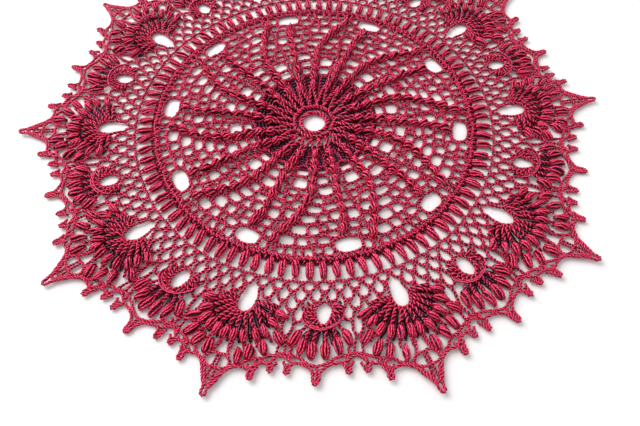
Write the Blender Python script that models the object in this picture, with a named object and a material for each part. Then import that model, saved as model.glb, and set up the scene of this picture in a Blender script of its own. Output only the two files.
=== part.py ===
"""A round crocheted lace doily with ten points, lying flat, in crimson cotton thread.

It is one piece worked in one thread, so it is one solid: a thin sheet with a scalloped, pointed
outline, flat underneath, with the larger gaps of the lace cut through and the raised stitches
standing up as ribs and bumps. Metres, +Z up; the origin is under the middle of the outline's box.
"""

import math

import bmesh
import bpy
from mathutils import Vector
from mathutils.geometry import delaunay_2d_cdt

# ---------------------------------------------------------------- driving dimensions

MM = 0.001
REACH = 150.0            # centre to the tip of a long point, mm; every distance below is for this size
REPEATS = 10
REPEAT_ANGLE = 360.0 / REPEATS
HALF = REPEAT_ANGLE / 2  # a long point lies half a repeat from a middle point

SHEET = 1.8              # thickness of the plain net and chains, mm
HOLE_RADIUS = 5.0        # the ring that the work starts from
CENTRE_RING = 3.6        # top of the thick ring round the centre hole
POST_VALLEY = 1.2        # the work between the posts round the centre
SPOKE_TOP = 3.8          # crest of a spoke of popcorn stitches
SPOKE_HALF_WIDTH = 2.6
BAND_RADIUS = 81.4       # firm band outside the openwork disc
BAND_TOP = 2.4
CLUSTER_TOP = 3.4        # the bumps of the cluster round
CLUSTER_FOOT = 84.5
CLUSTER_HEAD = 89.0
FAN_TOP = 3.2            # the clusters of the fans
ARCH_TOP = 2.8           # the raised arch over each eye
FAN_VALLEY = 1.5         # the work between two clusters of a fan

# ---------------------------------------------------------------- charts of one repeat
# Angles are in degrees from the repeat's axis, which runs through a middle point of the edge.
# Distances are from the centre, in mm. Across is along the round, and along is outwards.

# A spoke pair: the leaning spoke and the branch spoke, each a row for each crest point.
LEANING_SPOKE = [
    # distance, angle
    (21, 1.0), (30, -2.0), (39, -2.0), (47, -2.5), (54, -6.0), (61, -9.5), (68, -14.5), (74, -17.6),
]
BRANCH_SPOKE = [
    (21, 18.0), (30, 14.0), (39, 12.3), (47, 12.0), (54, 11.8), (61, 11.2), (67, 9.8),
]

# Gaps cut through. Turn tilts the gap's long side, in degrees.
GAPS = [
    # angle, distance, across, along, sides, turn
    (18.0, 104.0, 6.9, 12.2, 8, 0),      # eye of the long point's fan
    (0.0, 106.2, 6.0, 8.8, 8, 0),        # eye of the short fan
    (10.2, 74.6, 12.2, 6.6, 8, 0),       # gap over the branch spoke's end
    (5.4, 43.8, 6.8, 5.0, 5, 0),         # openwork between the spokes
    (-8.6, 65.6, 8.2, 4.8, 5, 10),
    (-11.9, 72.4, 7.4, 4.8, 5, 0),
    (-3.6, 59.6, 6.4, 4.2, 5, 0),
    (1.6, 52.6, 6.2, 4.0, 5, 0),
    (6.6, 58.4, 5.8, 4.4, 5, 20),
    (23.0, 39.8, 5.2, 5.6, 5, 0),
    (22.8, 57.4, 5.4, 4.8, 5, 30),
    (16.6, 60.2, 4.8, 5.0, 5, 0),
    (18.0, 127.0, 5.0, 4.4, 5, 0),       # over the fan's middle
    (0.0, 127.0, 6.4, 4.4, 5, 0),        # over the short fan
    (-4.0, 96.8, 8.4, 6.0, 6, 0),        # the net, at about twice its pitch
    (4.0, 96.8, 8.4, 6.0, 6, 0),
    (-12.2, 96.4, 8.4, 5.6, 6, 0),
    (12.2, 96.4, 8.4, 5.6, 6, 0),
    (-8.0, 105.4, 7.6, 5.2, 6, 0),
    (8.0, 105.4, 7.6, 5.2, 6, 0),
]

# Gaps between the clusters of the cluster round, wider at their outer end.
CLUSTERS_PER_REPEAT = 9
CLUSTER_STEP = REPEAT_ANGLE / CLUSTERS_PER_REPEAT
SLOT_INNER, SLOT_OUTER = 83.8, 90.6
SLOT_FOOT_WIDTH, SLOT_HEAD_WIDTH = 2.0, 4.0

# The edge from a middle point to a long point; the other half is its mirror image.
EDGE = [
    # angle, distance
    (0.8, 137.4), (1.5, 131.4), (3.2, 129.8), (4.3, 132.8), (5.3, 133.0), (6.4, 127.4),
    (7.2, 133.0), (8.2, 133.6), (9.3, 131.4), (10.8, 136.8), (11.7, 137.4), (13.4, 134.8),
    (15.6, 138.0), (17.0, 144.6), (17.5, 149.6),
]

# Fans: rounds of clusters set about an eye. Spread is the angle at the eye from the outward way,
# and reaches as far to the left as to the right.
LONG_EYE = (18.0, 103.5)
SHORT_EYE = (0.0, 105.6)
FANS = [
    # eye, distance from the eye, spread, stitches, kind
    (LONG_EYE, 8.6, 110, 7, "arch"),
    (LONG_EYE, 15.8, 75, 11, "clusters"),
    (LONG_EYE, 23.2, 57, 9, "clusters"),
    (SHORT_EYE, 6.9, 75, 5, "arch"),
    (SHORT_EYE, 16.4, 52, 7, "clusters"),
]

# How far the hand-made edge and the cluster round lie from the even chart.
EDGE_DRIFT = [
    # tip, sideways in degrees, outwards in mm
    (-162, 0.4, -0.5), (-144, -0.6, 0.9), (-126, -1.3, 4.1), (-108, 0.3, 0.5), (-90, 0.9, 1.3),
    (-72, 0.0, -1.5), (-54, 0.0, 0.4), (-36, -0.6, 0.8), (-18, -1.3, -2.6), (0, -1.6, -1.3),
    (18, 0.2, -0.7), (36, -0.1, 2.3), (54, 1.0, 1.7), (72, 1.5, -0.9), (90, 2.4, -1.4),
    (108, -0.1, -0.8), (126, 0.6, 1.2), (144, -0.4, -0.6), (162, 0.5, 0.8), (180, -0.3, -1.0),
]
ROUND_DRIFT = [
    (-162, 0.1, 0.3), (-144, -0.2, 0.0), (-126, 0.1, 0.6), (-108, 0.4, 0.2), (-90, 0.7, 0.0),
    (-72, 1.2, -0.4), (-54, 1.7, 0.0), (-36, 1.6, 0.3), (-18, 0.5, -0.3), (0, 0.9, 0.0),
    (18, 0.8, 0.3), (36, 0.5, 0.8), (54, -0.6, 0.4), (72, -0.4, 0.0), (90, 0.2, -0.3),
    (108, 0.3, 0.0), (126, 0.0, 0.4), (144, -0.2, 0.2), (162, 0.0, -0.3), (180, 0.2, 0.0),
]

COTTON = (0.42, 0.012, 0.045, 1.0)


# ---------------------------------------------------------------- plan geometry, in mm

def polar(angle, distance):
    """Point of the plan: angle 0 faces -Y and grows towards +X."""
    turn = math.radians(angle)
    return Vector((distance * math.sin(turn), -distance * math.cos(turn)))


def smooth(low, high, value):
    """Soft step from 0 at low to 1 at high."""
    t = min(1.0, max(0.0, (value - low) / (high - low)))
    return t * t * (3.0 - 2.0 * t)


def drift(table, angle):
    """Sideways and outward drift at an angle, eased between the table's rows."""
    step = 360.0 / len(table)
    place = (angle - table[0][0]) / step
    row = math.floor(place)
    ease = smooth(0.0, 1.0, place - row)
    here = table[row % len(table)]
    after = table[(row + 1) % len(table)]
    return [here[i] + (after[i] - here[i]) * ease for i in (1, 2)]


def uneven(point):
    """Moves a point of the even chart to where the hand-made cloth has it."""
    distance = point.length
    angle = math.degrees(math.atan2(point.x, -point.y))
    edge = smooth(0.62 * REACH, 0.93 * REACH, distance)
    inner = smooth(0.35 * REACH, 0.56 * REACH, distance) * (1.0 - edge)
    edge_side, edge_out = drift(EDGE_DRIFT, angle)
    round_side, round_out = drift(ROUND_DRIFT, angle)
    return polar(angle + edge * edge_side + inner * round_side,
                 distance + edge * edge_out + inner * round_out)


def around(angle, distance, offsets):
    """Offsets (across, along) from a chart point, turned to face outwards there."""
    centre = polar(angle, distance)
    outwards = centre.normalized()
    across = Vector((-outwards.y, outwards.x))
    return [centre + across * a + outwards * b for a, b in offsets]


def gap_loop(angle, distance, across, along, sides, turn):
    """Polygon with the area of the gap's oval."""
    fit = math.sqrt(2.0 * math.pi / (sides * math.sin(2.0 * math.pi / sides)))
    tilt = math.radians(turn)
    offsets = []
    for side in range(sides):
        corner = 2.0 * math.pi * (side + 0.5) / sides - math.pi / 2
        a = 0.5 * fit * across * math.cos(corner)
        b = 0.5 * fit * along * math.sin(corner)
        offsets.append((a * math.cos(tilt) - b * math.sin(tilt), a * math.sin(tilt) + b * math.cos(tilt)))
    return around(angle, distance, offsets)


def slot_loop(angle):
    """Gap between two clusters, narrow at its foot."""
    corners = [(-1, SLOT_INNER, SLOT_FOOT_WIDTH), (1, SLOT_INNER, SLOT_FOOT_WIDTH),
               (1, SLOT_OUTER, SLOT_HEAD_WIDTH), (-1, SLOT_OUTER, SLOT_HEAD_WIDTH)]
    middle = 0.5 * (SLOT_INNER + SLOT_OUTER)
    return around(angle, middle, [(0.5 * side * width, at - middle) for side, at, width in corners])


def outline():
    """The whole edge, anticlockwise, from the near middle point on."""
    loop = []
    for repeat in range(REPEATS):
        axis = repeat * REPEAT_ANGLE
        loop += [polar(axis + angle, distance) for angle, distance in EDGE]
        loop += [polar(axis + REPEAT_ANGLE - angle, distance) for angle, distance in reversed(EDGE)]
    return loop


def gaps():
    """Every gap that is cut through, with the centre hole first."""
    loops = [[polar(30.0 * i, HOLE_RADIUS) for i in range(12)]]
    for repeat in range(REPEATS):
        axis = repeat * REPEAT_ANGLE
        loops += [gap_loop(axis + row[0], *row[1:]) for row in GAPS]
        loops += [slot_loop(axis - HALF + i * CLUSTER_STEP) for i in range(CLUSTERS_PER_REPEAT)]
    return loops


# ---------------------------------------------------------------- raised stitches
# Each crest is a list of (point, height); neighbours in one list are joined by an edge.

def spoke_crests(axis, spoke):
    """A rib with its crest and the foot at either side of it."""
    crest = [(polar(axis + angle, distance), SPOKE_TOP) for distance, angle in spoke]
    feet = []
    for side in (-1, 1):
        feet.append([(p, SHEET) for distance, angle in spoke
                     for p in around(axis + angle, distance, [(side * SPOKE_HALF_WIDTH, 0)])])
    return [crest] + feet


def ring(distance, count, height, start=0.0):
    """A closed round at one height."""
    points = [(polar(start + 360.0 * i / count, distance), height) for i in range(count)]
    return points + points[:1]


def fan_round(axis, eye, distance, spread, stitches, kind):
    """One round of a fan: an arch is one crest, and clusters are bumps with valleys between."""
    count = stitches if kind == "arch" else 2 * stitches - 1
    offsets = []
    for i in range(count):
        lean = math.radians(spread * (2.0 * i / (count - 1) - 1.0))
        offsets.append((distance * math.sin(lean), distance * math.cos(lean)))
    points = around(axis + eye[0], eye[1], offsets)
    if kind == "arch":
        return [[(p, ARCH_TOP) for p in points]]
    return [[(p, FAN_VALLEY if i % 2 else FAN_TOP)] for i, p in enumerate(points)]


def raised_stitches():
    """All the crests and bumps of the even chart."""
    posts = 2 * REPEATS
    crests = [ring(HOLE_RADIUS + 2.0, posts, CENTRE_RING), ring(HOLE_RADIUS + 4.4, posts, POST_VALLEY)]
    crests.append(ring(BAND_RADIUS, REPEATS * CLUSTERS_PER_REPEAT, BAND_TOP))
    for repeat in range(REPEATS):
        axis = repeat * REPEAT_ANGLE
        crests += spoke_crests(axis, LEANING_SPOKE)
        crests += spoke_crests(axis, BRANCH_SPOKE)
        for i in range(CLUSTERS_PER_REPEAT):
            angle = axis - HALF + (i + 0.5) * CLUSTER_STEP
            crests.append([(polar(angle, CLUSTER_FOOT), CLUSTER_TOP), (polar(angle, CLUSTER_HEAD), CLUSTER_TOP)])
        for fan in FANS:
            crests += fan_round(axis, *fan)
    return crests


# ---------------------------------------------------------------- the solid

def inside(point, loop):
    """Even-odd test of a plan point against a closed loop."""
    odd = False
    for a, b in zip(loop, loop[1:] + loop[:1]):
        if (a.y > point.y) != (b.y > point.y):
            if point.x < a.x + (b.x - a.x) * (point.y - a.y) / (b.y - a.y):
                odd = not odd
    return odd


def near(point, loop, reach=16.0):
    return abs(point.x - loop[0].x) < reach and abs(point.y - loop[0].y) < reach


def crosses(a, b, c, d):
    """True if the segments a-b and c-d cross."""
    def side(p, q, r):
        return (q.x - p.x) * (r.y - p.y) - (q.y - p.y) * (r.x - p.x)
    return side(a, b, c) * side(a, b, d) < 0 and side(c, d, a) * side(c, d, b) < 0


def on_cloth(point, loops):
    return inside(point, loops[0]) and not any(near(point, gap) and inside(point, gap) for gap in loops[1:])


def clear_chains(crests, loops):
    """Crests broken where they would run over a gap or off the edge."""
    chains = []
    for crest in crests:
        chain = []
        for point, height in crest:
            if not on_cloth(point, loops):
                chains.append(chain)
                chain = []
                continue
            if chain:
                last = chain[-1][0]
                walls = [(c, d) for loop in loops for c, d in zip(loop, loop[1:] + loop[:1])
                         if near(point, [c])]
                if any(crosses(last, point, c, d) for c, d in walls):
                    chains.append(chain)
                    chain = []
            chain.append((point, height))
        chains.append(chain)
    return [chain for chain in chains if chain]


def triangulate(loops, extra):
    """Triangles of the sheet between its outline and its gaps, over the loops' and extra points."""
    points, edges = [], []
    for loop in loops:
        first = len(points)
        points += loop
        edges += [(first + i, first + (i + 1) % len(loop)) for i in range(len(loop))]
    for chain in extra:
        first = len(points)
        points += chain
        edges += [(first + i, first + i + 1) for i in range(len(chain) - 1)]
    verts, _, faces, sources, _, _ = delaunay_2d_cdt(points, edges, [], 0, 1e-5)
    kept = []
    for face in faces:
        middle = sum((verts[i] for i in face), Vector((0.0, 0.0))) / 3.0
        if on_cloth(middle, loops):
            kept.append([sources[i][0] for i in face])
    return kept


def build_doily():
    """The cloth as one closed solid."""
    loops = [[uneven(p) for p in loop] for loop in [outline()] + gaps()]
    rim = [p for loop in loops for p in loop]
    shift = Vector((min(p.x for p in rim) + max(p.x for p in rim),
                    min(p.y for p in rim) + max(p.y for p in rim))) / 2

    crests = [[(uneven(p), height) for p, height in crest] for crest in raised_stitches()]
    crests = clear_chains(crests, loops)
    chains = [[p for p, _ in crest] for crest in crests]
    heights = [SHEET] * len(rim) + [height for crest in crests for _, height in crest]

    mesh = bmesh.new()
    plan = rim + [p for chain in chains for p in chain]
    top = [mesh.verts.new((*(p - shift), height)) for p, height in zip(plan, heights)]
    bottom = [mesh.verts.new((*(p - shift), 0.0)) for p in rim]
    for face in triangulate(loops, chains):
        mesh.faces.new([top[i] for i in face])
    for face in triangulate(loops, []):
        mesh.faces.new([bottom[i] for i in reversed(face)])
    first = 0
    for loop in loops:
        count = len(loop)
        for i in range(count):
            here, after = first + i, first + (i + 1) % count
            mesh.faces.new([top[after], top[here], bottom[here], bottom[after]])
        first += count
    bmesh.ops.delete(mesh, geom=[v for v in mesh.verts if not v.link_faces], context="VERTS")
    bmesh.ops.recalc_face_normals(mesh, faces=mesh.faces[:])
    bmesh.ops.scale(mesh, vec=(MM, MM, MM), verts=mesh.verts[:])

    data = bpy.data.meshes.new("doily")
    mesh.to_mesh(data)
    mesh.free()
    doily = bpy.data.objects.new("doily", data)
    bpy.context.collection.objects.link(doily)
    return doily


def cotton_material():
    cotton = bpy.data.materials.new("crimson_cotton")
    cotton.use_nodes = True
    surface = cotton.node_tree.nodes["Principled BSDF"]
    surface.inputs["Base Color"].default_value = COTTON
    surface.inputs["Roughness"].default_value = 0.6
    surface.inputs["Metallic"].default_value = 0.0
    return cotton


for old in list(bpy.data.objects):
    bpy.data.objects.remove(old, do_unlink=True)
build_doily().data.materials.append(cotton_material())
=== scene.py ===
"""A crimson crocheted doily lying flat on a pale surface, made stitch by stitch from its thread.

The cloth is worked in rounds from the centre ring outwards, and the sections below follow the
rounds. Chart positions are an angle in degrees from a repeat's axis, which runs through a short
point of the edge, and a distance in millimetres from the centre ring. Lengths are in millimetres
until a mesh is made, and heights are above the surface that the cloth lies on.
"""

import math

import bpy
import numpy as np
from mathutils import Matrix, Vector


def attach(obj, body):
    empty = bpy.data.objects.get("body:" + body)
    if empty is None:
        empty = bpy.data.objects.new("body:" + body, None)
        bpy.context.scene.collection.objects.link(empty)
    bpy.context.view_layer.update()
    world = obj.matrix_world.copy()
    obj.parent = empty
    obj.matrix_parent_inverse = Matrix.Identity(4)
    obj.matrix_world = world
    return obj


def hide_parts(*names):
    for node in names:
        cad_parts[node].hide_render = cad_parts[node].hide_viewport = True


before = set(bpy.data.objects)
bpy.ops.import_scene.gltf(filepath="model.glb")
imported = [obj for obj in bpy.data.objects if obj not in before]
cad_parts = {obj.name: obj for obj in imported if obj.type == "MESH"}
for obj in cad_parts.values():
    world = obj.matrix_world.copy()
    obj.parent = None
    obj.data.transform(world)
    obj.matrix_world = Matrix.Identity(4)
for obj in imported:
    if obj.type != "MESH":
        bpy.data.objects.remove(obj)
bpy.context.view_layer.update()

# ---------------------------------------------------------------------------
# Centre ring and posts: the middle of the doily, where the work begins. Tall stitches
# are crocheted into a ring of chains, and long posts round their heads, two to each
# spoke, all in the one mercerised cotton thread that the whole cloth is made of.

MM = 0.001
REACH = 150.0                   # from the centre ring to the tips of the long points
REPEATS = 10
REPEAT = 360.0 / REPEATS
AXES = REPEAT * np.arange(REPEATS)         # the repeats' axes, in degrees; 0 is on the near side
# The cloth was blocked by hand, so its rounds run unevenly. The drift tables say how far the
# edge's twenty points and the round of clusters lie from the even chart.
EDGE_DRIFT = np.array([
    # point, sideways in degrees, outwards in mm
    (-162, 0.4, -0.5), (-144, -0.6, 0.9), (-126, -1.3, 4.1), (-108, 0.3, 0.5), (-90, 0.9, 1.3),
    (-72, 0.0, -1.5), (-54, 0.0, 0.4), (-36, -0.6, 0.8), (-18, -1.3, -2.6), (0, -1.6, -1.3),
    (18, 0.2, -0.7), (36, -0.1, 2.3), (54, 1.0, 1.7), (72, 1.5, -0.9), (90, 2.4, -1.4),
    (108, -0.1, -0.8), (126, 0.6, 1.2), (144, -0.4, -0.6), (162, 0.5, 0.8), (180, -0.3, -1.0),
])
ROUND_DRIFT = np.array([
    (-162, 0.1, 0.3), (-144, -0.2, 0.0), (-126, 0.1, 0.6), (-108, 0.4, 0.2), (-90, 0.7, 0.0),
    (-72, 1.2, -0.4), (-54, 1.7, 0.0), (-36, 1.6, 0.3), (-18, 0.5, -0.3), (0, 0.9, 0.0),
    (18, 0.8, 0.3), (36, 0.5, 0.8), (54, -0.6, 0.4), (72, -0.4, 0.0), (90, 0.2, -0.3),
    (108, 0.3, 0.0), (126, 0.0, 0.4), (144, -0.2, 0.2), (162, 0.0, -0.3), (180, 0.2, 0.0),
])
EDGE_EASE = (0.62 * REACH, 0.93 * REACH)         # between these the edge's drift sets in
ROUND_EASE = (0.35 * REACH, 0.56 * REACH)        # between these that of the round of clusters does
RING_SHIFT = -3.2               # how far the centre ring lies from the rounds' middle, to the near side
RING_EASE = (8.0, 36.0)         # between these that shift dies out
EDGE_LIFT = 1.6                 # the edge rises off the surface by up to this much
LIFT_FROM = 0.80 * REACH
LONG_POINT = (17.5, 149.6)      # the corner of a long point's tip, which the outline reaches out to


def smooth(low, high, value):
    """Soft step from 0 at low to 1 at high."""
    t = np.clip((value - low) / (high - low), 0.0, 1.0)
    return t * t * (3.0 - 2.0 * t)


def drift(table, angle):
    """Sideways and outward drift at each angle, eased between the table's rows."""
    turn = (angle - table[0, 0]) / (360.0 / len(table))
    row = np.floor(turn).astype(int)
    here, after = table[row % len(table)], table[(row + 1) % len(table)]
    ease = smooth(0.0, 1.0, turn - row)
    return [here[..., i] + (after[..., i] - here[..., i]) * ease for i in (1, 2)]


def blocked(angle, distance):
    """Plan places of chart points, as the cloth was blocked, before it is centred."""
    angle, distance = np.broadcast_arrays(np.asarray(angle, float), np.asarray(distance, float))
    edge = smooth(*EDGE_EASE, distance)
    inner = smooth(*ROUND_EASE, distance) * (1.0 - edge)
    edge_side, edge_out = drift(EDGE_DRIFT, angle)
    round_side, round_out = drift(ROUND_DRIFT, angle)
    turn = np.radians(angle + edge * edge_side + inner * round_side)
    out = distance + edge * edge_out + inner * round_out
    plan = np.stack([out * np.sin(turn), -out * np.cos(turn)], -1)
    plan[..., 1] += RING_SHIFT * (1.0 - smooth(*RING_EASE, distance))
    return plan


corners = np.concatenate([blocked(AXES + side * LONG_POINT[0], LONG_POINT[1]) for side in (-1, 1)])
CENTRE = -(corners.min(0) + corners.max(0)) / 2      # the centre ring, from the outline's middle


def place(angle, distance, height):
    """Chart points as places on the cloth; its edge lifts a little here and there."""
    plan = blocked(angle, distance) + CENTRE
    turn = np.radians(np.asarray(angle, float))
    wave = 0.5 + 0.3 * np.sin(3.0 * turn + 0.8) + 0.2 * np.sin(7.0 * turn + 2.1)
    lift = EDGE_LIFT * wave * smooth(LIFT_FROM, REACH, np.asarray(distance, float))
    high = np.broadcast_to(np.asarray(height, float) + lift, plan.shape[:-1])
    return np.concatenate([plan, high[..., None]], -1)


MAP_LENGTH = 6.4                # length of thread that the pattern's map covers once
LOWEST = 0.02                   # no thread dips under this height
chance = np.random.default_rng(7)


class Crochet:
    """The threads of one part of the work, gathered into one mesh."""

    def __init__(self):
        self.places, self.faces, self.maps, self.count = [], [], [], 0

    def thread(self, paths, thickness, sides, closed=False, painted_shade_turn=0.0):
        """Round threads along paths, an array of threads by points by three.

        The last argument turns the painted shade and highlight round the thread: at 0.5 the painted dark side
        lies up, as painted shade on threads under others.
        """
        paths = np.asarray(paths, float)
        threads, points, _ = paths.shape
        if closed:
            heading = np.roll(paths, -1, 1) - np.roll(paths, 1, 1)
        else:
            heading = np.gradient(paths, axis=1)
        heading /= np.linalg.norm(heading, axis=-1, keepdims=True) + 1e-9
        side = np.stack([heading[..., 1], -heading[..., 0], np.zeros(heading.shape[:-1])], -1)
        side[..., 0] += 1e-6
        side /= np.linalg.norm(side, axis=-1, keepdims=True)
        lift = np.cross(side, heading)
        turn = 2.0 * math.pi * (np.arange(sides) + 0.5) / sides
        radius = np.broadcast_to(np.asarray(thickness, float) / 2, paths.shape[:-1])[..., None, None]
        ring = side[..., None, :] * np.cos(turn)[:, None] + lift[..., None, :] * np.sin(turn)[:, None]
        self.places.append((paths[..., None, :] + radius * ring).reshape(-1, 3))

        step = np.linalg.norm(np.diff(paths, axis=1), axis=-1)
        if closed:
            step = np.concatenate([step, np.linalg.norm(paths[:, :1] - paths[:, -1:], axis=-1)], 1)
        along = np.concatenate([np.zeros((threads, 1)), np.cumsum(step, 1)], 1) / MAP_LENGTH
        along += chance.random((threads, 1))
        runs = points if closed else points - 1
        first = (np.arange(threads) * points)[:, None] + np.arange(runs)[None, :]
        after = (np.arange(threads) * points)[:, None] + (np.arange(runs) + 1)[None, :] % points
        k = np.arange(sides)
        near, far = first[..., None] * sides, after[..., None] * sides
        quads = np.stack([near + k, far + k, far + (k + 1) % sides, near + (k + 1) % sides], -1)
        self.faces.append((quads.reshape(-1, 4) + self.count, 4))
        u0 = np.broadcast_to(along[:, :runs, None], (threads, runs, sides))
        u1 = np.broadcast_to(along[:, 1:runs + 1, None], (threads, runs, sides))
        painted_shade_turn = np.broadcast_to(painted_shade_turn, (threads, points))
        v0 = (k + 0.5) / sides + painted_shade_turn[:, :runs, None]
        v1 = (k + 0.5) / sides + painted_shade_turn[:, (np.arange(runs) + 1) % points, None]
        next_v0, next_v1 = v0 + 1 / sides, v1 + 1 / sides
        self.maps.append(np.stack([u0, v0, u1, v1, u1, next_v1, u0, next_v0], -1).reshape(-1, 2))
        if not closed:
            for end, order in ((0, k), (points - 1, k[::-1])):
                cap = (np.arange(threads)[:, None] * points + end) * sides + order
                self.faces.append((cap + self.count, sides))
                cap_u = np.repeat(along[:, end], sides)
                cap_v = ((order + 0.5) / sides + painted_shade_turn[:, end, None]).reshape(-1)
                self.maps.append(np.stack([cap_u, cap_v], -1))
        self.count += threads * points * sides

    def mesh(self, name, material):
        """One object of all the threads so far."""
        places = np.concatenate(self.places)
        places[:, 2] = np.maximum(places[:, 2], LOWEST)
        loops = np.concatenate([faces.reshape(-1) for faces, _ in self.faces])
        sizes = np.concatenate([np.full(len(faces), size) for faces, size in self.faces])
        data = bpy.data.meshes.new(name)
        data.vertices.add(len(places))
        data.vertices.foreach_set("co", (places * MM).reshape(-1))
        data.loops.add(len(loops))
        data.loops.foreach_set("vertex_index", loops)
        data.polygons.add(len(sizes))
        data.polygons.foreach_set("loop_start", np.concatenate([[0], np.cumsum(sizes)[:-1]]))
        data.uv_layers.new(name="OFBake").uv.foreach_set("vector", np.concatenate(self.maps).reshape(-1))
        data.update(calc_edges=True)
        data.shade_smooth()
        data.materials.append(material)
        piece = bpy.data.objects.new(name, data)
        bpy.context.collection.objects.link(piece)
        return piece


def line_length(line):
    """Length of a line of points."""
    return float(np.linalg.norm(np.diff(line, axis=0), axis=1).sum())


def follow(line, at):
    """Places and headings on a line at given lengths, run on straight past its ends."""
    along = np.concatenate([[0.0], np.cumsum(np.linalg.norm(np.diff(line, axis=0), axis=1))])
    spot = np.stack([np.interp(at, along, line[:, i]) for i in range(3)], -1)
    heading = np.stack([np.interp(at + 0.4, along, line[:, i]) - np.interp(at - 0.4, along, line[:, i])
                        for i in range(3)], -1)
    heading /= np.linalg.norm(heading, axis=-1, keepdims=True) + 1e-9
    past = at - np.clip(at, 0.0, along[-1])
    return spot + heading * past[..., None], heading


def across(heading):
    """The level direction square to a heading."""
    flat = np.stack([-heading[..., 1], heading[..., 0], np.zeros(heading.shape[:-1])], -1)
    return flat / (np.linalg.norm(flat, axis=-1, keepdims=True) + 1e-9)


def cord(work, line, thickness, turn_length, bulge, strands=2, sides=5, rings=4.4):
    """A post: strands twisted round each other along a line, with a number of rings to a turn."""
    length = line_length(line)
    count = max(4, int(round(length / turn_length * rings)) + 1)
    at = np.linspace(0.0, length, count)
    spot, heading = follow(line, at)
    flat = across(heading)
    up = np.cross(heading, flat)
    start, tight, slack = chance.random() * 2.0 * math.pi, chance.normal(1.0, 0.08), chance.uniform(0.0, 6.0)
    by_hand = 0.35 * np.sin(at * 1.3 + slack) + 0.25 * np.sin(at * 3.1 + 2.0 * slack)
    places_round = np.arange(strands)[:, None] / strands
    turn = start + by_hand + 2.0 * math.pi * (at * tight / turn_length + places_round)
    paths = spot + bulge * (flat * np.cos(turn)[..., None] + up * np.sin(turn)[..., None])
    # the painted highlight turns with the strand, so the painted bright ridge faces out of the twist, and
    # strays a little
    painted_shade_turn = turn / (2.0 * math.pi) - 0.25 + 0.035 * np.cos(turn) + 0.07 * np.sin(at * 0.9 + 3.0 * slack)
    work.thread(paths, thickness, sides, painted_shade_turn=painted_shade_turn)


RING_RADIUS, RING_HEIGHT = 6.7, 1.6
RING_THREAD, RING_TURNS = 1.25, 6            # thickness of its three strands, and their turns once round
HEADS_RADIUS, HEADS_HEIGHT = 10.0, 2.7       # the round of the tall stitches' heads
HEADS_THREAD, HEADS_TURNS = 1.15, 17
HEADS_WAVE, HEADS_WAVES = 0.25, 9            # how far that round sways in and out, and how often
UNDER_HEADS = ((8.4, 1.2), (9.8, 0.9))       # distance and height of the threads under the heads
UNDER_THREAD = 1.9

centre = Crochet()
around = np.arange(0, 360.1, 4)
ring_line = place(around, RING_RADIUS, RING_HEIGHT)
cord(centre, ring_line, RING_THREAD, turn_length=line_length(ring_line) / RING_TURNS, bulge=0.72,
     strands=3, sides=6, rings=11)
in_and_out = HEADS_WAVE * np.sin(np.radians(around * HEADS_WAVES))
heads_line = place(around, HEADS_RADIUS + in_and_out, HEADS_HEIGHT)
cord(centre, heads_line, HEADS_THREAD, turn_length=line_length(heads_line) / HEADS_TURNS, bulge=0.6, rings=7)
# the threads under the heads lie with their painted dark side up, as painted shade
for distance, height in UNDER_HEADS:
    under = place(np.arange(0, 360, 6), distance, height)
    centre.thread([under], UNDER_THREAD, 6, closed=True, painted_shade_turn=0.35)

# The posts stand over rounds of chain. Beside the ring these stop on the near side, where small gaps show.
UNDER_ROOTS, ROOTS_THREAD = (11.8, 13.6), 1.7        # distances of the broken rounds, and their thickness
ROOTS_FROM, ROOTS_TO = 50, 310                       # degrees; 0 is the near side
UNDER_POSTS = np.arange(15.6, 32.0, 1.8)             # distances of the whole rounds
# the rounds under the posts lie with their painted dark side up, as painted shade
for distance in UNDER_ROOTS:
    under = place(np.arange(ROOTS_FROM, ROOTS_TO + 1, 5), distance, 0.6)
    centre.thread([under], ROOTS_THREAD, 5, painted_shade_turn=0.4)
around = np.arange(0, 360, 5)
for distance in UNDER_POSTS:
    under = place(around, distance, 0.4 + 0.25 * np.cos(np.radians(around * 2 * REPEATS)))
    centre.thread([under], UNDER_THREAD, 5, closed=True, painted_shade_turn=0.4)


def curve(points, step=0.5):
    """A smooth line through points, sampled about every step."""
    points = np.asarray(points, float)
    padded = np.concatenate([2 * points[:1] - points[1:2], points, 2 * points[-1:] - points[-2:-1]])
    a, b, c, d = padded[:-3], padded[1:-2], padded[2:-1], padded[3:]
    count = max(3, int(np.ceil(np.linalg.norm(c - b, axis=1).max() / step)) + 1)
    t = np.linspace(0.0, 1.0, count)[:-1, None, None]
    run = 0.5 * (2 * b + (c - a) * t + (2 * a - 5 * b + 4 * c - d) * t ** 2
                 + (3 * b - a - 3 * c + d) * t ** 3)
    return np.concatenate([run.transpose(1, 0, 2).reshape(-1, 3), points[-1:]])


def chart_line(rows, height=0.0, axis=0.0, mirror=1.0, sway=0.12):
    """A line through chart rows of angle, distance and perhaps its own height, swaying by hand."""
    rows = np.array([(*row, height) if len(row) == 2 else row for row in rows], float)
    by_hand = chance.normal(0.0, sway, (len(rows), 2))
    by_hand[[0, -1]] *= 0.4
    angles = axis + mirror * (rows[:, 0] + np.degrees(by_hand[:, 0] / rows[:, 1]))
    return curve(place(angles, rows[:, 1] + by_hand[:, 1], rows[:, 2]))


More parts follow.
